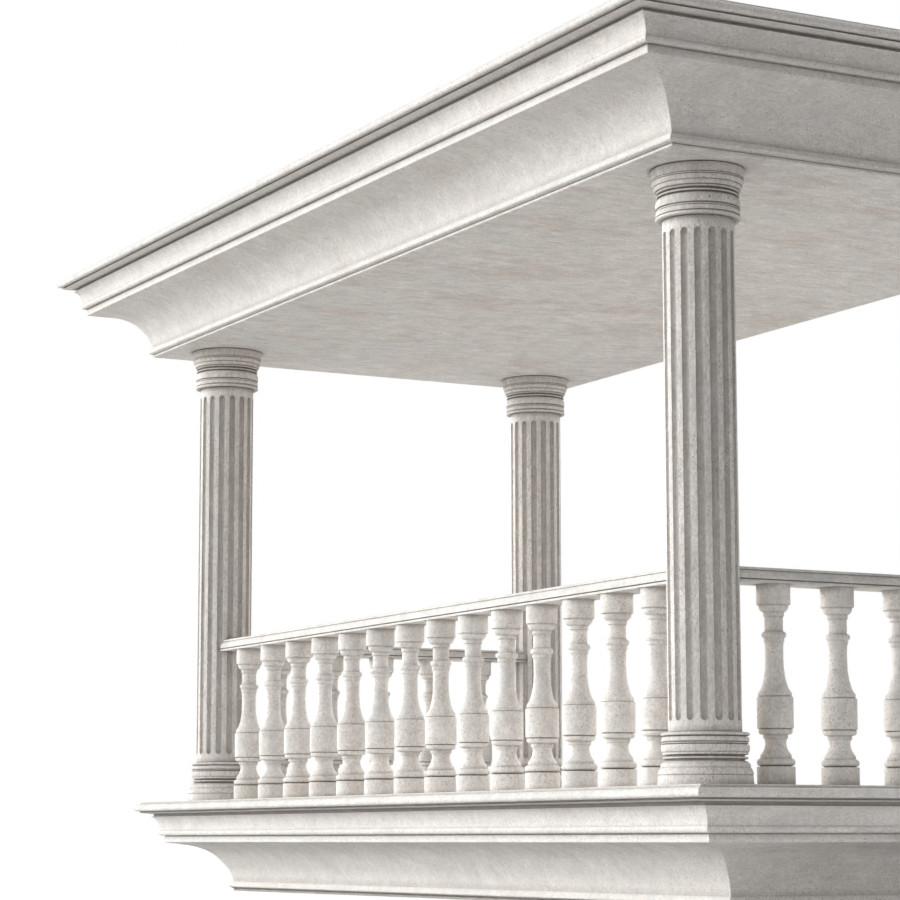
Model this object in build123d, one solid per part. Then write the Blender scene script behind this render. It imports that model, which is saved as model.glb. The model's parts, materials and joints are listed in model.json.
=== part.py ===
from build123d import *
import os
from math import cos, sin, radians, hypot

os.makedirs("parts", exist_ok=True)

# ---------------------------------------------------------------------------
# Four-column stone balcony pavilion with balustrades on three sides.
# Millimetres.  +X runs along the long side, the front is -Y, +Z is up.
# The origin is the middle of the flat underside of the floor slab.
# ---------------------------------------------------------------------------

# overall setting-out
COL_X = 2748.0          # column axes, half spacing along X
COL_Y = 1136.0          # column axes, half spacing along Y
SLAB_T = 552.0          # thickness of the floor slab and of the roof slab
CLEAR_H = 2850.0        # floor to ceiling
FLOOR_UX, FLOOR_UY = 2791.0, 1037.0     # half size of the floor slab's flat underside
ROOF_UX, ROOF_UY = 3103.0, 1503.0       # half size of the roof slab's flat underside
CORE_IN = 200.0         # the cornice stones bed this far in from the underside's edge

Z_FLOOR = SLAB_T
Z_CEIL = SLAB_T + CLEAR_H
Z_TOP = SLAB_T + CLEAR_H + SLAB_T

# columns
SHAFT_R = 168.0
BASE_H = 244.0          # height of the moulded base, and of the capital
NECK_R = 163.0          # where the mouldings meet the shaft
FLUTES = 16
FLUTE_R = 18.2          # half width of one flute
FLUTE_LOW = 292.0       # rounded lower end of the flutes, above the floor
FLUTE_HIGH = CLEAR_H - 298.0

# rails
RAIL_LOW = 931.0        # underside of the rail above the floor
RAIL_TOP = 1001.0
RAIL_W = 90.0           # half width of the rail at its widest

# balusters
BAL_R = 88.6            # plinth radius
FRONT_COUNT, FRONT_PITCH = 14, 362.5
SIDE_COUNT, SIDE_PITCH, SIDE_FIRST = 5, 361.5, -750.0

# ---------------------------------------------------------------------------
# Cornice profile: (distance out from the underside's edge, height above it).
# From the bottom: drip fillet, bead, quirk, big cove, fascia, drip ledge,
# cavetto, fillet, bead and top fillet.
# Each side is four stones: the bed course with the bead, the lower cove
# course, the backing course with the upper cove, and the crown stone in front
# of it.
# ---------------------------------------------------------------------------
COVE = [(2.0, 67.0), (8.0, 84.0), (24.0, 127.0), (43.0, 158.0), (68.0, 191.0),
        (114.0, 237.0), (161.0, 262.5), (214.0, 280.0), (262.0, 289.0), (331.0, 300.0)]
BED_TOP = 67.0          # top of the bed course
COVE_JOINT = 191.0      # bed joint inside the cove
CROWN_OUT = 214.0       # upright joint behind the crown stone


def cornice_face(inner):
    """Closed profile in (out, up) from the inner bedding line out to the mouldings."""
    with BuildSketch(Plane.XY) as sk:
        with BuildLine() as ln:
            # drip fillet and the throat above it
            Polyline((-inner, 0), (0, 0), (2.0, 10.0), (-2.0, 10.6), (-2.0, 13.0), (16.0, 21.0))
            # bottom bead
            ThreePointArc((16.0, 21.0), (22.8, 27.0), (20.5, 38.0))
            ThreePointArc((20.5, 38.0), (14.5, 51.0), (5.0, 60.0))
            Polyline((5.0, 60.0), (2.0, 60.0), (2.0, 67.0))
            Spline(*COVE)
            Polyline((331.0, 300.0), (334.0, 303.0), (335.5, 336.0), (332.5, 337.0), (332.5, 341.5), (352.0, 342.5))
            # small rounded ledge under the cavetto
            ThreePointArc((352.0, 342.5), (361.5, 350.0), (359.0, 372.0))
            Line((359.0, 372.0), (355.5, 373.5))
            # cavetto
            Spline((355.5, 373.5), (358.8, 407.0), (371.0, 433.0), (403.0, 461.0),
                   tangents=[(0.0, 1.0), (1.0, 0.42)])
            # shadow groove, corona underside and the quirk below the bead
            Polyline((403.0, 461.0), (388.0, 462.5), (388.0, 476.0), (461.0, 486.0),
                     (453.0, 488.0), (453.0, 493.0), (474.0, 495.5))
            # upper bead
            ThreePointArc((474.0, 495.5), (487.0, 507.5), (483.5, 522.0))
            ThreePointArc((483.5, 522.0), (476.5, 533.0), (467.0, 538.5))
            Polyline((467.0, 538.5), (451.0, 539.5), (451.0, 549.0), (448.0, SLAB_T),
                     (-inner, SLAB_T), (-inner, 0))
        make_face()
    return sk.sketch


def stone_faces(inner):
    """The profile divided into its four stones."""
    whole = cornice_face(inner)
    far = 900.0

    def window(o0, o1, z0, z1):
        return Rectangle(o1 - o0, z1 - z0, align=(Align.MIN, Align.MIN)).moved(Location((o0, z0, 0)))

    cuts = [window(-inner - 10, far, -10, BED_TOP),
            window(-inner - 10, far, BED_TOP, COVE_JOINT),
            window(-inner - 10, CROWN_OUT, COVE_JOINT, SLAB_T + 10),
            window(CROWN_OUT, far, COVE_JOINT, SLAB_T + 10)]
    return [whole & c for c in cuts]


def strip(face, along_x, half_len, edge, sign):
    """One course of a side: its section run along the side, past both corners."""
    reach = half_len + 700.0
    if along_x:
        pl = Plane(origin=(-reach, sign * edge, 0), x_dir=(0, sign, 0), z_dir=(sign, 0, 0)) \
            if sign > 0 else Plane(origin=(reach, sign * edge, 0), x_dir=(0, sign, 0), z_dir=(-1, 0, 0))
    else:
        pl = Plane(origin=(sign * edge, reach, 0), x_dir=(sign, 0, 0), z_dir=(0, -1, 0)) \
            if sign > 0 else Plane(origin=(sign * edge, -reach, 0), x_dir=(sign, 0, 0), z_dir=(0, 1, 0))
    body = extrude(pl * face, amount=2 * reach)
    return body


def side_wedge(ux, uy, which):
    """Plan wedge that keeps one side's strip between its two mitre lines."""
    far = 900.0
    inn = CORE_IN + 50.0
    o_out, o_in = far, -inn
    if which == "front":
        pts = [(-(ux + o_out), -(uy + o_out)), (ux + o_out, -(uy + o_out)),
               (ux + o_in, -(uy + o_in)), (-(ux + o_in), -(uy + o_in))]
    elif which == "back":
        pts = [(-(ux + o_out), uy + o_out), (ux + o_out, uy + o_out),
               (ux + o_in, uy + o_in), (-(ux + o_in), uy + o_in)]
    elif which == "left":
        pts = [(-(ux + o_out), -(uy + o_out)), (-(ux + o_out), uy + o_out),
               (-(ux + o_in), uy + o_in), (-(ux + o_in), -(uy + o_in))]
    else:
        pts = [(ux + o_out, -(uy + o_out)), (ux + o_out, uy + o_out),
               (ux + o_in, uy + o_in), (ux + o_in, -(uy + o_in))]
    wire = Polyline(*pts, close=True)
    return extrude(make_face(wire), amount=SLAB_T + 20, dir=(0, 0, 1)).moved(Location((0, 0, -10)))


def slab(name, ux, uy, z0):
    """A slab: a flat core stone and, on each side, four mitred cornice stones."""
    stones = stone_faces(CORE_IN)
    core = Box(2 * (ux - CORE_IN), 2 * (uy - CORE_IN), SLAB_T,
               align=(Align.CENTER, Align.CENTER, Align.MIN)).moved(Location((0, 0, z0)))
    out = {name + "_slab": core}
    for which, along_x, sign in (("front", True, -1), ("back", True, 1),
                                 ("left", False, -1), ("right", False, 1)):
        edge = uy if along_x else ux
        half = ux if along_x else uy
        wedge = side_wedge(ux, uy, which)
        cut = [(strip(f, along_x, half, edge, sign) & wedge).solids()[0].moved(Location((0, 0, z0)))
               for f in stones]
        out[name + "_cornice_" + which] = Compound(children=cut)
    return out


# ---------------------------------------------------------------------------
# Column base profile (radius, height above the floor)
# ---------------------------------------------------------------------------
def base_solid():
    with BuildPart() as bp:
        with BuildSketch(Plane.XZ):
            with BuildLine():
                # flared foot
                Line((0, 0), (222.5, 0))
                Spline((222.5, 0), (218.7, 17.0), (216.2, 32.0), (215.5, 47.0))
                # lip
                Polyline((215.5, 47.0), (213.2, 47.8), (213.2, 50.2), (216.5, 51.0))
                ThreePointArc((216.5, 51.0), (217.4, 58.0), (214.0, 66.0))
                # sloping reed and shoulder
                Spline((214.0, 66.0), (211.8, 72.5), (207.5, 79.5))
                Polyline((207.5, 79.5), (204.2, 80.6), (204.2, 83.4), (205.0, 84.4))
                ThreePointArc((205.0, 84.4), (204.0, 94.0), (199.0, 103.5))
                Line((199.0, 103.5), (195.0, 105.0))
                Spline((195.0, 105.0), (192.0, 109.0), (187.0, 112.0), (181.0, 113.5))
                # deep groove, thin ring, deep groove
                Polyline((181.0, 113.5), (178.0, 114.0), (178.0, 119.5), (190.0, 121.5))
                ThreePointArc((190.0, 121.5), (194.5, 126.5), (190.0, 131.0))
                Polyline((190.0, 131.0), (177.5, 133.0), (177.5, 139.5), (194.0, 141.2), (195.3, 149.0),
                         (193.6, 150.2), (193.6, 152.4), (196.8, 153.4))
                # torus band
                Spline((196.8, 153.4), (199.8, 159.0), (201.3, 167.0), (201.0, 177.0), (199.0, 184.8))
                Polyline((199.0, 184.8), (190.0, 185.8), (190.0, 190.0), (197.0, 191.0),
                         (197.5, 194.6), (191.5, 195.6), (191.5, 198.4), (196.5, 199.4))
                # band
                Spline((196.5, 199.4), (199.8, 203.5), (199.0, 211.0), (195.5, 220.0))
                Polyline((195.5, 220.0), (186.0, 221.0), (186.0, 225.0), (196.5, 226.2))
                # top ring, and the narrow neck the shaft stands on
                ThreePointArc((196.5, 226.2), (201.5, 233.5), (196.5, 240.0))
                Polyline((196.5, 240.0), (192.0, 241.0), (NECK_R, 241.0), (NECK_R, BASE_H), (0, BASE_H), (0, 0))
            make_face()
        revolve(axis=Axis.Z)
    return bp.part.solids()[0]


# ---------------------------------------------------------------------------
# Capital profile (radius, distance below the ceiling)
# ---------------------------------------------------------------------------
def capital_solid():
    with BuildPart() as bp:
        with BuildSketch(Plane.XZ):
            with BuildLine():
                # joint groove under the ceiling and the flared top
                Polyline((0, 0), (214.0, 0), (214.0, 4.0), (222.0, 5.0))
                Spline((222.0, 5.0), (218.5, 17.0), (216.2, 31.0), (215.5, 45.8))
                # pair of fine lines
                Polyline((215.5, 45.8), (211.5, 46.4), (211.5, 49.0), (216.5, 49.6), (216.8, 54.6),
                         (212.0, 55.4), (212.0, 58.2), (216.0, 58.8))
                # sloping reeds
                Spline((216.0, 58.8), (213.8, 67.0), (208.0, 78.6))
                Polyline((208.0, 78.6), (203.5, 79.6), (203.5, 82.4), (206.0, 83.2))
                ThreePointArc((206.0, 83.2), (204.8, 93.0), (200.0, 101.0))
                Polyline((200.0, 101.0), (192.0, 102.2), (192.0, 105.6), (196.5, 106.6))
                Spline((196.5, 106.6), (194.0, 110.5), (189.0, 113.5), (183.0, 114.5))
                # deep groove, thin ring, deep groove
                Polyline((183.0, 114.5), (178.0, 115.0), (178.0, 121.0), (189.0, 122.6))
                ThreePointArc((189.0, 122.6), (193.8, 127.2), (189.0, 131.6))
                Polyline((189.0, 131.6), (178.0, 132.8), (178.0, 138.6), (189.0, 140.6),
                         (193.2, 146.0), (195.2, 150.5))
                # torus band
                Spline((195.2, 150.5), (197.2, 157.0), (198.2, 166.0), (198.0, 177.0), (196.4, 184.2))
                Polyline((196.4, 184.2), (188.5, 185.2), (188.5, 190.4), (194.2, 191.4),
                         (194.6, 195.6), (191.6, 196.4), (191.6, 198.6), (194.8, 199.4))
                # band
                Spline((194.8, 199.4), (196.9, 204.0), (196.6, 212.0), (194.8, 220.5))
                Polyline((194.8, 220.5), (189.5, 221.4), (189.5, 224.8), (195.4, 225.8))
                # bottom ring, and the narrow neck that stands on the shaft
                ThreePointArc((195.4, 225.8), (199.0, 233.0), (195.4, 239.6))
                Polyline((195.4, 239.6), (191.0, 240.4), (NECK_R, 240.4), (NECK_R, BASE_H), (0, BASE_H), (0, 0))
            make_face()
        revolve(axis=Axis.Z)
    return bp.part.solids()[0].mirror(Plane.XY).moved(Location((0, 0, CLEAR_H)))


def shaft_solid():
    """Fluted shaft between the base and the capital, origin at floor level."""
    h0, h1 = BASE_H, CLEAR_H - BASE_H
    body = Cylinder(SHAFT_R, h1 - h0, align=(Align.CENTER, Align.CENTER, Align.MIN)).moved(Location((0, 0, h0)))
    cutters = []
    for i in range(FLUTES):
        a = radians(360.0 / FLUTES * (i + 0.5))
        px, py = (SHAFT_R + 0.5) * cos(a), (SHAFT_R + 0.5) * sin(a)
        zlo, zhi = FLUTE_LOW + FLUTE_R, FLUTE_HIGH - FLUTE_R
        cyl = Cylinder(FLUTE_R, zhi - zlo, align=(Align.CENTER, Align.CENTER, Align.MIN)).moved(Location((px, py, zlo)))
        lo = Sphere(FLUTE_R).moved(Location((px, py, zlo)))
        hi = Sphere(FLUTE_R).moved(Location((px, py, zhi)))
        cutters += [cyl + lo + hi]
    for c in cutters:
        body = body - c
    return body.solids()[0]


# ---------------------------------------------------------------------------
# Baluster profile (radius, height above the floor)
# ---------------------------------------------------------------------------
def baluster_solid():
    top = RAIL_LOW
    with BuildPart() as bp:
        with BuildSketch(Plane.XZ):
            with BuildLine():
                # round plinth and its groove
                Polyline((0, 0), (BAL_R, 0), (BAL_R, 91.0), (87.5, 92.0), (74.0, 92.3), (74.0, 97.2), (81.5, 97.5))
                # torus
                ThreePointArc((81.5, 97.5), (88.6, 112.5), (79.5, 128.0))
                # collar and bell
                Polyline((79.5, 128.0), (72.8, 129.5), (72.8, 142.5))
                Spline((72.8, 142.5), (69.3, 148.0), (65.2, 153.5), (59.7, 161.5), (55.4, 169.5), (52.2, 178.5),
                       (49.8, 188.0), (48.2, 197.0), (48.0, 204.0), (49.4, 210.5), (51.8, 217.0))
                Polyline((51.8, 217.0), (52.2, 220.0), (57.2, 221.5), (57.2, 238.5), (68.5, 240.0))
                # bead under the belly
                ThreePointArc((68.5, 240.0), (76.3, 245.5), (79.3, 256.0))
                Polyline((79.3, 256.0), (79.3, 261.0), (74.5, 261.8), (74.5, 265.6), (81.5, 266.4))
                # belly
                ThreePointArc((81.5, 266.4), (83.6, 268.6), (84.3, 272.0))
                Line((84.3, 272.0), (84.3, 405.0))
                ThreePointArc((84.3, 405.0), (83.5, 409.5), (80.5, 412.0))
                Polyline((80.5, 412.0), (75.8, 412.3), (75.8, 415.0), (77.8, 415.6), (77.8, 431.0))
                # swept shoulder up to the sleeve
                Spline((77.8, 431.0), (72.9, 437.5), (67.3, 445.5), (62.3, 455.5), (58.8, 466.0), (55.6, 477.5),
                       (52.3, 489.5), (49.2, 503.5), (46.4, 521.5), (44.4, 535.0), (43.4, 555.0), (42.4, 577.0),
                       (42.1, 605.0), (42.3, 632.0), (43.1, 654.0), (44.2, 663.0))
                Polyline((44.2, 663.0), (48.2, 665.5), (48.2, 682.5), (50.0, 684.0))
                # astragal
                ThreePointArc((50.0, 684.0), (57.8, 697.8), (50.0, 711.5))
                Polyline((50.0, 711.5), (43.4, 712.5), (43.2, 782.5), (48.5, 784.0), (48.5, 803.0), (52.5, 804.0))
                # echinus
                ThreePointArc((52.5, 804.0), (64.6, 814.5), (69.4, 827.0))
                Polyline((69.4, 827.0), (69.4, 836.0), (77.5, 837.0), (79.0, 839.0), (79.0, top), (0, top), (0, 0))
            make_face()
        revolve(axis=Axis.Z)
    return bp.part.solids()[0]


# ---------------------------------------------------------------------------
# Rail section (half width, height above the floor)
# ---------------------------------------------------------------------------
def rail_face():
    with BuildSketch(Plane.XY) as sk:
        with BuildLine():
            half = [(0, RAIL_LOW), (88.0, RAIL_LOW), (88.0, 941.5), (80.0, 942.3), (80.0, 946.7), (89.0, 947.5)]
            Polyline(*half)
            ThreePointArc((89.0, 947.5), (86.5, 967.0), (75.5, 984.0))
            Polyline((75.5, 984.0), (70.5, 985.0), (70.5, 988.0), (73.5, 989.0), (72.5, 998.0), (69.0, RAIL_TOP),
                     (0, RAIL_TOP), (0, RAIL_LOW))
        make_face()
        mirror(about=Plane.YZ)
    return sk.sketch


nodes = {}
nodes.update(slab("floor", FLOOR_UX, FLOOR_UY, 0.0))
nodes.update(slab("roof", ROOF_UX, ROOF_UY, Z_CEIL))

base = base_solid()
shaft = shaft_solid()
capital = capital_solid()
corners = {"front_left": (-COL_X, -COL_Y), "front_right": (COL_X, -COL_Y),
           "back_left": (-COL_X, COL_Y), "back_right": (COL_X, COL_Y)}
for cname, (cx, cy) in corners.items():
    at = Location((cx, cy, Z_FLOOR))
    nodes[cname + "_column_base"] = base.moved(at)
    nodes[cname + "_column_shaft"] = shaft.moved(at)
    nodes[cname + "_column_capital"] = capital.moved(at)

# rails: run between the columns and scribed to the fluted shafts
section = rail_face()
inset = 110.0


def rail(start, end, ends):
    (x0, y0), (x1, y1) = start, end
    length = hypot(x1 - x0, y1 - y0)
    dx, dy = (x1 - x0) / length, (y1 - y0) / length
    pl = Plane(origin=(x0 + dx * inset, y0 + dy * inset, Z_FLOOR), x_dir=(-dy, dx, 0), z_dir=(dx, dy, 0))
    # the section's upright axis must be +Z
    body = extrude(Plane(origin=pl.origin, x_dir=(dy, -dx, 0), z_dir=(dx, dy, 0)) * section, amount=length - 2 * inset)
    if body.bounding_box().max.Z < Z_FLOOR:
        body = extrude(Plane(origin=pl.origin, x_dir=(-dy, dx, 0), z_dir=(dx, dy, 0)) * section,
                       amount=length - 2 * inset)
    for c in ends:
        cx, cy = corners[c]
        body = body - shaft.moved(Location((cx, cy, Z_FLOOR)))
    return max(body.solids(), key=lambda s: s.volume)


nodes["front_rail"] = rail((-COL_X, -COL_Y), (COL_X, -COL_Y), ("front_left", "front_right"))
nodes["left_rail"] = rail((-COL_X, -COL_Y), (-COL_X, COL_Y), ("front_left", "back_left"))
nodes["right_rail"] = rail((COL_X, -COL_Y), (COL_X, COL_Y), ("front_right", "back_right"))

# balusters
bal = baluster_solid()
front_x = [(i - (FRONT_COUNT - 1) / 2.0) * FRONT_PITCH for i in range(FRONT_COUNT)]
side_y = [SIDE_FIRST + i * SIDE_PITCH for i in range(SIDE_COUNT)]
nodes["front_balusters"] = Compound(children=[bal.moved(Location((x, -COL_Y, Z_FLOOR))) for x in front_x])
nodes["left_balusters"] = Compound(children=[bal.moved(Location((-COL_X, y, Z_FLOOR))) for y in side_y])
nodes["right_balusters"] = Compound(children=[bal.moved(Location((COL_X, y, Z_FLOOR))) for y in side_y])

for name, shape in nodes.items():
    export_step(shape, "parts/" + name + ".step")
print(len(nodes), "nodes")
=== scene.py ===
import bpy
import json
from math import radians, sin, cos
from mathutils import Vector, Matrix


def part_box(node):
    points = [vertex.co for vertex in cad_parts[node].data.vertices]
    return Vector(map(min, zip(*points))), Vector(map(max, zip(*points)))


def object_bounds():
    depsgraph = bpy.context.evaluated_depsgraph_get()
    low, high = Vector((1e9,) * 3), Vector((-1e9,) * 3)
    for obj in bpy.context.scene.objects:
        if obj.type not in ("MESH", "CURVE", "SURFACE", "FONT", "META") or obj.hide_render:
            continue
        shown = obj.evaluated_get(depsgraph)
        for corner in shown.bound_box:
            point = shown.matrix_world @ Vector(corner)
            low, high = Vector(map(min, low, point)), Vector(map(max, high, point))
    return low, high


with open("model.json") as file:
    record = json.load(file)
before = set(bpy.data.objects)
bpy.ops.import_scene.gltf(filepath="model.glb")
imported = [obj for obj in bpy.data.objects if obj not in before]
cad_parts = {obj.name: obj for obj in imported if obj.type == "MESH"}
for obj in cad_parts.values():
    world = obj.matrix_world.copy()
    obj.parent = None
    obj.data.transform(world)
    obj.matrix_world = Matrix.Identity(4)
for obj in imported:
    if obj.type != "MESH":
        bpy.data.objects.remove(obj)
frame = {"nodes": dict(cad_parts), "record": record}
cad_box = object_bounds()
scene = bpy.context.scene


# ------------------------------------------------------------------ camera
def make_camera(pos, yaw_deg, pitch_deg, roll_deg, lens):
    yaw, pitch, roll = radians(yaw_deg), radians(pitch_deg), radians(roll_deg)
    view = Vector((-sin(yaw) * cos(pitch), cos(yaw) * cos(pitch), sin(pitch)))
    side = Vector((cos(yaw), sin(yaw), 0.0))
    up = side.cross(view)
    side = cos(roll) * side + sin(roll) * up
    up = side.cross(view)
    data = bpy.data.cameras.new("camera")
    data.sensor_width = 36.0
    data.lens = lens
    data.clip_end = 400.0
    data.dof.use_dof = False
    cam = bpy.data.objects.new("camera", data)
    scene.collection.objects.link(cam)
    m = Matrix((side, up, -view)).transposed().to_4x4()
    m.translation = Vector(pos)
    cam.matrix_world = m
    scene.camera = cam


make_camera((13.2913, -8.0581, 0.3142), 61.972, 8.047, -0.067, 110.25)


# ------------------------------------------------------------------ studio
# A pale room: broad soft panels all round, written as (azimuth from the front, elevation, strength),
# azimuth growing towards +X, large soft lamps at the front left and back left, and one low lamp that
# lifts the shaded lower right side.
PANELS = [(-180, 12, 1.9), (-135, 12, 0.8), (0, 12, 1.0), (45, 12, 0.62), (60, 50, 0.16)]
LAMPS = [(-10, 36, 0.38), (-26, 14, 1.28), (-62, 14, 2.25), (-165, 42, 1.88)]
LAMP_SIZE = 30.0


def heading(az, el):
    az, el = radians(az), radians(el)
    return Vector((sin(az) * cos(el), -cos(az) * cos(el), sin(el)))


world = bpy.data.worlds.new("studio")
scene.world = world
world.use_nodes = True
wt = world.node_tree
wt.nodes.clear()
w_out = wt.nodes.new("ShaderNodeOutputWorld")
w_coord = wt.nodes.new("ShaderNodeTexCoord")
total = None
for az, el, strength in PANELS:
    dot = wt.nodes.new("ShaderNodeVectorMath")
    dot.operation = "DOT_PRODUCT"
    wt.links.new(w_coord.outputs["Generated"], dot.inputs[0])
    dot.inputs[1].default_value = heading(az, el)
    front = wt.nodes.new("ShaderNodeMath")
    front.operation = "MAXIMUM"
    wt.links.new(dot.outputs["Value"], front.inputs[0])
    front.inputs[1].default_value = 0.0
    lobe = wt.nodes.new("ShaderNodeMath")
    lobe.operation = "POWER"
    wt.links.new(front.outputs[0], lobe.inputs[0])
    lobe.inputs[1].default_value = 8.0
    add = wt.nodes.new("ShaderNodeMath")
    add.operation = "MULTIPLY_ADD"
    wt.links.new(lobe.outputs[0], add.inputs[0])
    add.inputs[1].default_value = strength
    if total is None:
        add.inputs[2].default_value = 0.0
    else:
        wt.links.new(total, add.inputs[2])
    total = add.outputs[0]
w_light = wt.nodes.new("ShaderNodeBackground")
w_light.inputs["Color"].default_value = (1.0, 0.99, 0.98, 1)
wt.links.new(total, w_light.inputs["Strength"])
w_seen = wt.nodes.new("ShaderNodeBackground")
w_seen.inputs["Color"].default_value = (1, 1, 1, 1)
w_seen.inputs["Strength"].default_value = 1.0
w_path = wt.nodes.new("ShaderNodeLightPath")
w_mix = wt.nodes.new("ShaderNodeMixShader")
wt.links.new(w_path.outputs["Is Camera Ray"], w_mix.inputs[0])
wt.links.new(w_light.outputs[0], w_mix.inputs[1])
wt.links.new(w_seen.outputs[0], w_mix.inputs[2])
wt.links.new(w_mix.outputs[0], w_out.inputs[0])
scene.view_settings.view_transform = "Standard"
scene.view_settings.look = "None"

for i, (az, el, strength) in enumerate(LAMPS):
    lamp = bpy.data.lights.new("lamp_%d" % i, "SUN")
    lamp.energy = strength
    lamp.angle = radians(LAMP_SIZE)
    lamp.color = (0.995, 1.0, 1.0)
    lamp_obj = bpy.data.objects.new("lamp_%d" % i, lamp)
    scene.collection.objects.link(lamp_obj)
    lamp_obj.rotation_euler = heading(az, el).to_track_quat("Z", "Y").to_euler()

fill = bpy.data.lights.new("low_fill", "AREA")
fill.shape = "RECTANGLE"
fill.size = 3.0
fill.size_y = 0.5
fill.energy = 4.6
fill.spread = radians(78.0)
fill.color = (1.0, 0.99, 0.98)
fill_obj = bpy.data.objects.new("low_fill", fill)
scene.collection.objects.link(fill_obj)
fill_obj.location = (6.4, -0.4, 0.2)
fill_obj.rotation_euler = Vector((1.0, 0.0, 0.0)).to_track_quat("Z", "Y").to_euler()
fill_obj.visible_camera = False


# ------------------------------------------------------------------ node helpers
class Tree:
    """Small helper that adds and joins nodes in one material."""

    def __init__(self, name):
        self.mat = bpy.data.materials.new(name)
        self.mat.use_nodes = True
        self.t = self.mat.node_tree
        self.t.nodes.clear()
        self.out = self.n("OutputMaterial")
        self.bsdf = self.n("BsdfPrincipled")
        self.t.links.new(self.bsdf.outputs[0], self.out.inputs[0])
        self.pos = self.n("TexCoord").outputs["Object"]

    def n(self, kind, **props):
        node = self.t.nodes.new("ShaderNode" + kind)
        for k, v in props.items():
            setattr(node, k, v)
        return node

    def put(self, socket, value):
        if hasattr(value, "is_linked") or hasattr(value, "links"):
            self.t.links.new(value, socket)
        else:
            socket.default_value = value

    def math(self, op, a, b=None, c=None, clamp=False):
        m = self.n("Math", operation=op, use_clamp=clamp)
        for i, v in enumerate((a, b, c)):
            if v is not None:
                self.put(m.inputs[i], v)
        return m.outputs[0]

    def vec(self, op, a, b=None, scale=None):
        m = self.n("VectorMath", operation=op)
        self.put(m.inputs[0], a)
        if b is not None:
            self.put(m.inputs[1], b)
        if scale is not None:
            self.put(m.inputs["Scale"], scale)
        return m.outputs[0]

    def noise(self, vector, scale, detail=4.0, rough=0.55, distort=0.0, colour=False):
        m = self.n("TexNoise")
        self.put(m.inputs["Vector"], vector)
        m.inputs["Scale"].default_value = scale
        m.inputs["Detail"].default_value = detail
        m.inputs["Roughness"].default_value = rough
        m.inputs["Distortion"].default_value = distort
        return m.outputs["Color" if colour else 0]

    def span(self, value, lo, hi, a=0.0, b=1.0, smooth=True):
        m = self.n("MapRange", interpolation_type="SMOOTHSTEP" if smooth else "LINEAR")
        self.put(m.inputs["Value"], value)
        m.inputs["From Min"].default_value = lo
        m.inputs["From Max"].default_value = hi
        m.inputs["To Min"].default_value = a
        m.inputs["To Max"].default_value = b
        return m.outputs[0]

    def mix(self, fac, a, b, blend="MIX"):
        m = self.n("Mix", data_type="RGBA", blend_type=blend)
        self.put(m.inputs[0], fac)
        self.put(m.inputs[6], a)
        self.put(m.inputs[7], b)
        return m.outputs[2]

    def shade(self, colour, factor):
        """colour times a grey factor"""
        return self.vec("SCALE", colour, scale=factor)


def pits(t, where, scale, share, small, large):
    """Mask of scattered little holes: share of the cells hold one, small..large in cell widths."""
    v = t.n("TexVoronoi", feature="F1", distance="EUCLIDEAN")
    t.put(v.inputs["Vector"], where)
    v.inputs["Scale"].default_value = scale
    v.inputs["Randomness"].default_value = 1.0
    rand = t.n("SeparateColor")
    t.put(rand.inputs[0], v.outputs["Color"])
    held = t.math("LESS_THAN", rand.outputs[0], share)
    size = t.math("MULTIPLY_ADD", rand.outputs[1], large - small, small)
    near = t.math("DIVIDE", v.outputs["Distance"], size)
    hole = t.span(near, 0.45, 1.0, 1.0, 0.0)
    return t.math("MULTIPLY", hole, held)


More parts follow.
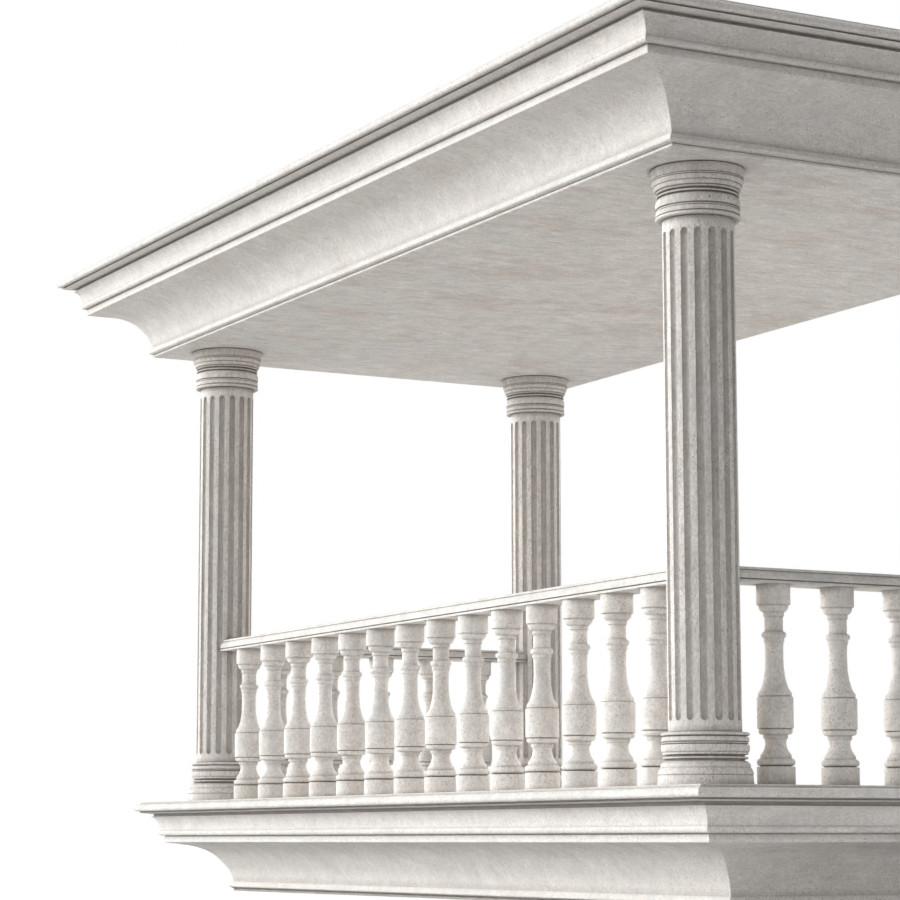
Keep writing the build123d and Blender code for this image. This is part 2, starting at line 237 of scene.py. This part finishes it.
def stone(name, base, tint, grey, along=(1.0, 0.22, 1.0), streak=0.13, fleck=0.30, pit=0.6,
          groove_shade=0.92, sheltered_shade=0.35, low_shade_factor=None, tinted=0.34, blot=0.40, dots=0.0, bed=17.0, grain=0.15,
          ceiling=None):
    """Pale limestone: blotches, bedding streaks, fine grain, flecks, pits, painted shade in the grooves and
    recesses, and a thin painted shade where a surface is sheltered.
    """
    t = Tree(name)
    p = t.pos
    wob = t.vec("SUBTRACT", t.noise(p, 2.1, 2.0, 0.5, colour=True), (0.5, 0.5, 0.5))
    q = t.vec("ADD", p, t.vec("SCALE", wob, scale=0.16))

    # blotches of warm and of grey stone, a little drawn out along the bedding
    blot_space = t.vec("MULTIPLY", q, tuple(max(v, 0.5) for v in along))
    big = t.noise(blot_space, 3.4, 4.0, 0.64)
    warm = t.span(big, 0.47, 0.66, 0.0, tinted)
    height = t.n("SeparateXYZ")
    t.put(height.inputs[0], p)
    above = None
    if ceiling is not None:
        # the ceiling is blotched more warmly than the weathered faces above it
        above = t.span(height.outputs[2], ceiling + 0.001, ceiling + 0.003, 0.0, 1.0, False)
        warm = t.math("MULTIPLY", warm, t.math("MULTIPLY_ADD", above, -0.55, 1.0))
    colour = t.mix(warm, base, tint)
    cold = t.noise(t.vec("ADD", blot_space, (7.3, 2.1, 4.4)), 4.6, 4.0, 0.64)
    colour = t.mix(t.span(cold, 0.47, 0.68, 0.0, blot), colour, grey)

    # bedding streaks, soft mottling, grain
    beds = t.noise(t.vec("MULTIPLY", q, along), bed, 4.0, 0.74)
    mott = t.noise(q, 8.0, 3.0, 0.66)
    grit = t.noise(t.vec("MULTIPLY", p, tuple(max(v, 0.45) for v in along)), 80.0, 3.0, 0.82)
    tone = t.span(beds, 0.28, 0.72, 1.0 - streak, 1.0 + streak, False)
    if above is not None:
        # the streaks show most on the ceiling
        calm = t.math("MULTIPLY_ADD", above, -0.55, 1.0)
        tone = t.math("MULTIPLY_ADD", t.math("SUBTRACT", tone, 1.0), calm, 1.0)
    tone = t.math("MULTIPLY", tone, t.span(mott, 0.3, 0.7, 0.93, 1.06, False))
    tone = t.math("MULTIPLY", tone, t.span(grit, 0.28, 0.72, 1.0 - grain, 1.0 + 0.87 * grain, False))
    colour = t.shade(colour, tone)

    # dark flecks, thick in some patches and few in others
    patch = t.span(cold, 0.40, 0.62, 1.0, 0.30)
    flecks = t.noise(t.vec("MULTIPLY", p, tuple(max(v, 0.6) for v in along)), 205.0, 1.0, 0.5)
    flecks = t.math("MULTIPLY", t.span(flecks, 0.59, 0.70), patch)
    colour = t.mix(t.math("MULTIPLY", flecks, fleck), colour, (0.22, 0.19, 0.16, 1))

    # open pits, small ones close together and a few larger ones
    fine = pits(t, t.vec("MULTIPLY", p, tuple(max(v, 0.7) for v in along)), 140.0, 0.24 + 0.28 * dots, 0.17, 0.31)
    wide = pits(t, q, 15.0, 0.12, 0.05, 0.10)
    hole = t.math("MULTIPLY", t.math("MAXIMUM", t.math("MULTIPLY", fine, 0.75), wide), patch)
    colour = t.mix(t.math("MULTIPLY", hole, pit), colour, (0.11, 0.093, 0.077, 1))

    # painted shade: ambient occlusion darkens the grooves and recesses, and a thin painted shade covers sheltered
    # surfaces
    # within 35 mm of a neighbouring surface the colour turns dark brown, so grooves and creases get painted shade
    ao = t.n("AmbientOcclusion", samples=2, only_local=False)
    ao.inputs["Distance"].default_value = 0.035
    rag = t.math("MULTIPLY_ADD", mott, 0.7, 0.66)
    shut = t.math("MULTIPLY", t.math("SUBTRACT", 1.0, ao.outputs["AO"]), rag)
    groove_shade_mask = t.span(shut, 0.28, 0.74, 0.0, groove_shade)
    colour = t.mix(groove_shade_mask, colour, (0.080, 0.060, 0.043, 1))
    # within 22 cm of other surfaces the colour is pulled towards a greyish brown: painted shade where a surface is
    # sheltered
    ao2 = t.n("AmbientOcclusion", samples=1, only_local=False)
    ao2.inputs["Distance"].default_value = 0.22
    sheltered_shade_mask = t.math("MULTIPLY", t.math("SUBTRACT", 1.0, ao2.outputs["AO"]), t.span(mott, 0.30, 0.70, 0.6, 1.0))
    sheltered_shade_mask = t.math("MULTIPLY", sheltered_shade_mask, sheltered_shade)
    if low_shade_factor is not None:
        # the painted shade weakens towards the bottom, so the lower parts are painted lighter than the sheltered
        # tops
        sheltered_shade_mask = t.math("MULTIPLY", sheltered_shade_mask, t.span(height.outputs[2], 0.9, 3.2, low_shade_factor, 1.0, False))
    if ceiling is not None:
        # the ceiling gets less of the painted shade and is painted 1.5 % lighter: painted light on the ceiling
        sheltered_shade_mask = t.math("MULTIPLY", sheltered_shade_mask, t.math("MULTIPLY_ADD", above, 0.55, 0.45))
        colour = t.shade(colour, t.math("MULTIPLY_ADD", above, -0.015, 1.015))
    colour = t.mix(sheltered_shade_mask, colour, (0.375, 0.322, 0.265, 1))
    t.put(t.bsdf.inputs["Base Color"], colour)

    # surface
    rough = t.span(grit, 0.3, 0.7, 0.70, 0.88, False)
    t.put(t.bsdf.inputs["Roughness"], t.math("MULTIPLY_ADD", hole, 0.1, rough))
    t.bsdf.inputs["Specular IOR Level"].default_value = 0.25
    bump = t.n("Bump")
    bump.inputs["Strength"].default_value = 0.5
    bump.inputs["Distance"].default_value = 0.003
    t.put(bump.inputs["Height"], t.math("MULTIPLY_ADD", fine, -1.0, grit))
    t.put(t.bsdf.inputs["Normal"], bump.outputs[0])
    return t.mat


BASE = (0.836, 0.808, 0.775, 1)
TINT = (0.710, 0.645, 0.595, 1)
GREY = (0.655, 0.652, 0.638, 1)
mats = {
    "roof_stone": stone("roof_stone", BASE, (0.715, 0.630, 0.565, 1), GREY, along=(1.0, 0.25, 1.0), streak=0.17,
                        bed=25.0, tinted=0.52, blot=0.30,
                        fleck=0.62, pit=0.70, dots=0.5,
                        ceiling=float(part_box("roof_slab")[0][2])),
    "floor_stone": stone("floor_stone", (0.860, 0.835, 0.805, 1), TINT, GREY, streak=0.07, tinted=0.26, fleck=0.60,
                         pit=0.70, dots=0.4),
    "column_stone": stone("column_stone", (0.838, 0.804, 0.767, 1), TINT, GREY, along=(1.0, 1.0, 0.45), streak=0.13,
                          tinted=0.42, fleck=0.80, pit=0.74, sheltered_shade=0.75, low_shade_factor=0.10, dots=0.8, grain=0.20),
    "rail_stone": stone("rail_stone", BASE, TINT, GREY, streak=0.12, fleck=0.60, pit=0.70, sheltered_shade=0.15, dots=0.6),
    "baluster_stone": stone("baluster_stone", (0.898, 0.868, 0.831, 1), TINT, GREY, along=(0.8, 0.8, 0.7),
                            streak=0.10, tinted=0.36, fleck=0.56, pit=0.58, sheltered_shade=0.18, dots=0.8, grain=0.17),
}
slot_of = {s["node"]: s["material_slot"] for s in frame["record"]["subparts"]}
for node_name, obj in frame["nodes"].items():
    obj.data.materials.clear()
    obj.data.materials.append(mats[slot_of[node_name]])

# ------------------------------------------------------------------ floor
low = min(c[2] for c in cad_box)
mesh = bpy.data.meshes.new("studio_floor")
R = 150.0
mesh.from_pydata([(-R, -R, low - 0.002), (R, -R, low - 0.002), (R, R, low - 0.002), (-R, R, low - 0.002)],
                 [], [(0, 1, 2, 3)])
floor = bpy.data.objects.new("studio_floor", mesh)
scene.collection.objects.link(floor)
fm = bpy.data.materials.new("studio_floor")
fm.use_nodes = True
ft = fm.node_tree
ft.nodes.clear()
f_out = ft.nodes.new("ShaderNodeOutputMaterial")
f_dim = ft.nodes.new("ShaderNodeBsdfDiffuse")
f_dim.inputs["Color"].default_value = (0.56, 0.56, 0.555, 1)
f_lift = ft.nodes.new("ShaderNodeEmission")
f_lift.inputs["Color"].default_value = (1, 0.99, 0.975, 1)
f_lift.inputs["Strength"].default_value = 0.05
f_back = ft.nodes.new("ShaderNodeAddShader")
f_pale = ft.nodes.new("ShaderNodeBsdfDiffuse")
f_pale.inputs["Color"].default_value = (0.45, 0.45, 0.45, 1)
f_glow = ft.nodes.new("ShaderNodeEmission")
f_glow.inputs["Color"].default_value = (1, 1, 1, 1)
f_glow.inputs["Strength"].default_value = 0.72
f_add = ft.nodes.new("ShaderNodeAddShader")
f_path = ft.nodes.new("ShaderNodeLightPath")
f_mix = ft.nodes.new("ShaderNodeMixShader")
# the ground throws a little less light back up on the shaded right
f_place = ft.nodes.new("ShaderNodeTexCoord")
f_axes = ft.nodes.new("ShaderNodeSeparateXYZ")
f_tone = ft.nodes.new("ShaderNodeMapRange")
f_tone.interpolation_type = "SMOOTHSTEP"
f_tone.inputs["From Min"].default_value = 4.0
f_tone.inputs["From Max"].default_value = 8.0
f_tone.inputs["To Min"].default_value = 0.56
f_tone.inputs["To Max"].default_value = 0.45
ft.links.new(f_place.outputs["Object"], f_axes.inputs[0])
ft.links.new(f_axes.outputs[0], f_tone.inputs["Value"])
ft.links.new(f_tone.outputs[0], f_dim.inputs["Color"])
ft.links.new(f_dim.outputs[0], f_back.inputs[0])
ft.links.new(f_lift.outputs[0], f_back.inputs[1])
ft.links.new(f_pale.outputs[0], f_add.inputs[0])
ft.links.new(f_glow.outputs[0], f_add.inputs[1])
ft.links.new(f_path.outputs["Is Camera Ray"], f_mix.inputs[0])
ft.links.new(f_back.outputs[0], f_mix.inputs[1])
ft.links.new(f_add.outputs[0], f_mix.inputs[2])
# the floor hides nothing from below
f_side = ft.nodes.new("ShaderNodeNewGeometry")
f_clear = ft.nodes.new("ShaderNodeBsdfTransparent")
f_open = ft.nodes.new("ShaderNodeMixShader")
ft.links.new(f_side.outputs["Backfacing"], f_open.inputs[0])
ft.links.new(f_mix.outputs[0], f_open.inputs[1])
ft.links.new(f_clear.outputs[0], f_open.inputs[2])
ft.links.new(f_open.outputs[0], f_out.inputs[0])
floor.data.materials.append(fm)
